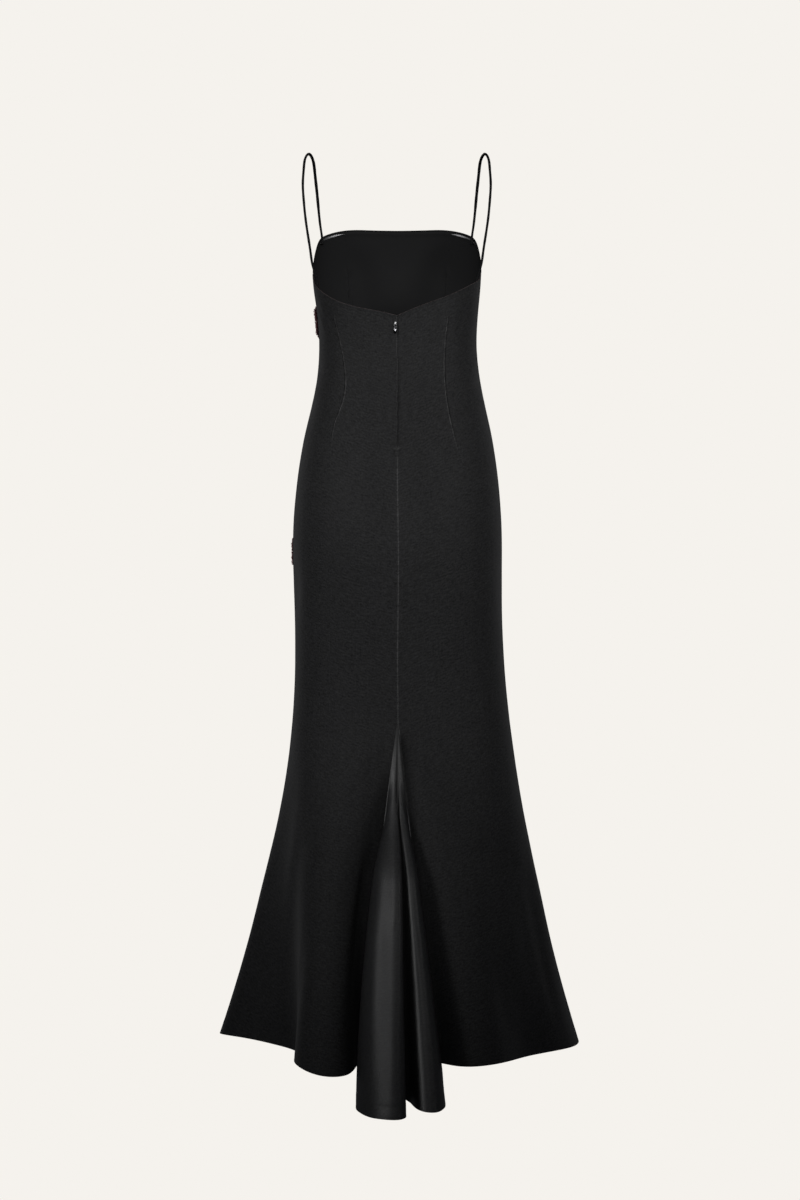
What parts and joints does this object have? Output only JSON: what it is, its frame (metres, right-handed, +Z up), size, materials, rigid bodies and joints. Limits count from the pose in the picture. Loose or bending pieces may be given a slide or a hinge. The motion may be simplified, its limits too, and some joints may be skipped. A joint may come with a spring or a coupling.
{
  "type": "dress",
  "caption": "Long black satin mermaid gown with thin shoulder straps, a low back with a concealed zip, and a fan of cloth let into the back hem as a short train",
  "frame": {"origin": "midway between the tops of the two shoulder straps, where the wearer's shoulders hold the dress", "axes": "+Z up, +X to the wearer's right, +Y the way the wearer faces; the zip and the train are on the -Y side"},
  "size_m": [0.5663, 0.5417, 1.4681],
  "materials": {
    "satin": "black satin with a soft low sheen",
    "strap_satin": "black bias rouleau",
    "slider_metal": "black lacquered metal",
    "pull_metal": "nickel plated, softly polished",
    "rose_thread": "raised embroidery in rose and dark red thread"
  },
  "bodies": {
    "dress": {"front": "satin", "back_left": "satin", "back_right": "satin", "godet": "satin", "strap_left": "strap_satin", "strap_right": "strap_satin", "zip_slider": "slider_metal", "flower_bust": "rose_thread", "flower_hip": "rose_thread"},
    "pull": {"zip_pull": "pull_metal"}
  },
  "joints": [
    {"name": "pull_swing", "type": "hinge", "parent": "dress", "child": "pull", "pos_m": [-0.0035, -0.0923, -0.2785], "axis": [-1, 0, 0], "range_deg": [-5, 160]}
  ]
}
